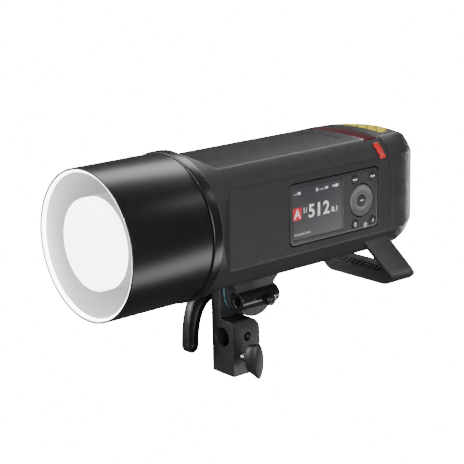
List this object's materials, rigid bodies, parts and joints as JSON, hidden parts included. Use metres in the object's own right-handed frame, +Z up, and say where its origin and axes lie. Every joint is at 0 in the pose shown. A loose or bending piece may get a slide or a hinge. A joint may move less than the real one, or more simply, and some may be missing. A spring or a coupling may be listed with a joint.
{
  "type": "monolight strobe",
  "caption": "Battery flash head with bayonet reflector, frosted glass dome, side control panel, clip-on battery, raked grip and tilting stand bracket.",
  "frame": {"origin": "mouth of the bracket's upright stand socket, on the block's bottom face, on the socket's axis", "axes": "+Z up along the stand socket, the lamp axis along Y with the reflector at -Y, the control panel on the +X side"},
  "size_m": [0.1246, 0.3289, 0.2014],
  "materials": {
    "shell": "fine spark texture",
    "ring_gloss": "satin gloss",
    "reflector_black": "black anodised, turned",
    "bowl_silver": "satin",
    "dome_glass": "frosted",
    "ceramic": "glazed white",
    "tube_glass": "clear",
    "lamp_yellow": "phosphor gel",
    "cast_grey": "black anodised die casting",
    "steel": "zinc plated",
    "teal": "friction plastic",
    "knob_black": "moulded",
    "panel": "satin",
    "display": "clear window over a grey display",
    "module": "plain",
    "button_rubber": "soft touch",
    "indicator": "clear lens",
    "board": "solder mask",
    "sleeve": "shrink sleeve",
    "alloy": "extruded",
    "fan": "moulded",
    "window_red": "dark red translucent",
    "inlay_red": "bright red",
    "flap_rubber": "matt",
    "cover": "moulded",
    "brass": "plated contacts",
    "cell": "shrink sleeve",
    "latch": "moulded",
    "label": null
  },
  "bodies": {
    "bracket": {"bracket": "cast_grey", "tilt_bolt": "steel"},
    "head": {"friction_ring": "teal", "tilt_knuckle": "shell", "umbrella_tube": "ring_gloss", "mount_ring": "ring_gloss", "main_housing": "shell", "rear_frame": "shell", "sensor_window": "window_red", "red_inlay_right": "inlay_red", "red_inlay_left": "inlay_red", "port_block": "cover", "display_panel": "panel", "display_glass": "display", "display_module": "module", "indicator": "indicator", "control_board": "board", "power_board": "board", "glass_dome": "dome_glass", "lamp_base": "ceramic", "modelling_lamp": "lamp_yellow", "flash_tube": "tube_glass", "capacitor_1": "sleeve", "capacitor_2": "sleeve", "capacitor_3": "sleeve", "heat_sink": "alloy", "fan_frame": "fan", "handle": "shell"},
    "stand_knob": {"stand_knob": "knob_black", "stand_screw": "steel"},
    "tilt_lever": {"tilt_lever": "cast_grey", "lever_screw": "steel"},
    "umbrella_screw": {"umbrella_screw": "ring_gloss"},
    "reflector": {"reflector_shell": "reflector_black", "reflector_bowl": "bowl_silver"},
    "battery": {"battery_case": "shell", "battery_cover": "cover", "battery_terminals": "brass", "cell_row_1": "cell", "cell_row_2": "cell", "cell_row_3": "cell", "battery_label": "label"},
    "battery_latch": {"battery_latch": "latch"},
    "fan_rotor": {"fan_rotor": "fan"},
    "port_flap": {"port_flap": "flap_rubber"},
    "dial": {"dial": "button_rubber"},
    "set_button": {"set_button": "button_rubber"},
    "button_menu": {"button_menu": "button_rubber"},
    "button_group": {"button_group": "button_rubber"},
    "button_lamp": {"button_lamp": "button_rubber"},
    "button_test": {"button_test": "button_rubber"}
  },
  "joints": [
    {"name": "head_tilt", "type": "hinge", "parent": "bracket", "child": "head", "pos_m": [0, 0.0131, 0.0716], "axis": [1, 0, 0], "range_deg": [-45, 28]},
    {"name": "lever_turn", "type": "hinge", "parent": "bracket", "child": "tilt_lever", "pos_m": [0, 0.0131, 0.0716], "axis": [1, 0, 0], "range_deg": [-20, 45]},
    {"name": "stand_knob_turn", "type": "hinge", "parent": "bracket", "child": "stand_knob", "pos_m": [0.02, 0, 0.0165], "axis": [1, 0, 0], "continuous": true},
    {"name": "umbrella_screw_turn", "type": "hinge", "parent": "head", "child": "umbrella_screw", "pos_m": [0.0311, 0.0175, 0.066], "axis": [1, 0, 0], "continuous": true},
    {"name": "reflector_twist", "type": "hinge", "parent": "head", "child": "reflector", "pos_m": [0, -0.0702, 0.1391], "axis": [0, 1, 0], "range_deg": [0, 28]},
    {"name": "battery_slide", "type": "slide", "parent": "head", "child": "battery", "axis": [0, 1, 0], "range_m": [0, 0.08]},
    {"name": "battery_latch_press", "type": "slide", "parent": "battery", "child": "battery_latch", "axis": [1, 0, 0], "range_m": [0, 0.001], "stiffness_N_per_m": 800, "springref_m": -0.0006},
    {"name": "fan_spin", "type": "hinge", "parent": "head", "child": "fan_rotor", "pos_m": [0, 0.102, 0.1391], "axis": [0, 1, 0], "continuous": true},
    {"name": "port_flap_open", "type": "hinge", "parent": "head", "child": "port_flap", "pos_m": [-0.0515, 0.0585, 0.133], "axis": [0, 0, 1], "range_deg": [0, 110]},
    {"name": "dial_turn", "type": "hinge", "parent": "head", "child": "dial", "pos_m": [0.0494, 0.1043, 0.1404], "axis": [1, 0, 0], "continuous": true},
    {"name": "set_press", "type": "slide", "parent": "head", "child": "set_button", "axis": [-1, 0, 0], "range_m": [0, 0.0008], "stiffness_N_per_m": 800, "springref_m": -0.0006},
    {"name": "menu_press", "type": "slide", "parent": "head", "child": "button_menu", "axis": [-1, 0, 0], "range_m": [0, 0.0008], "stiffness_N_per_m": 800, "springref_m": -0.0006},
    {"name": "group_press", "type": "slide", "parent": "head", "child": "button_group", "axis": [-1, 0, 0], "range_m": [0, 0.0008], "stiffness_N_per_m": 800, "springref_m": -0.0006},
    {"name": "lamp_press", "type": "slide", "parent": "head", "child": "button_lamp", "axis": [-1, 0, 0], "range_m": [0, 0.0008], "stiffness_N_per_m": 800, "springref_m": -0.0006},
    {"name": "test_press", "type": "slide", "parent": "head", "child": "button_test", "axis": [-1, 0, 0], "range_m": [0, 0.0008], "stiffness_N_per_m": 800, "springref_m": -0.0006}
  ]
}
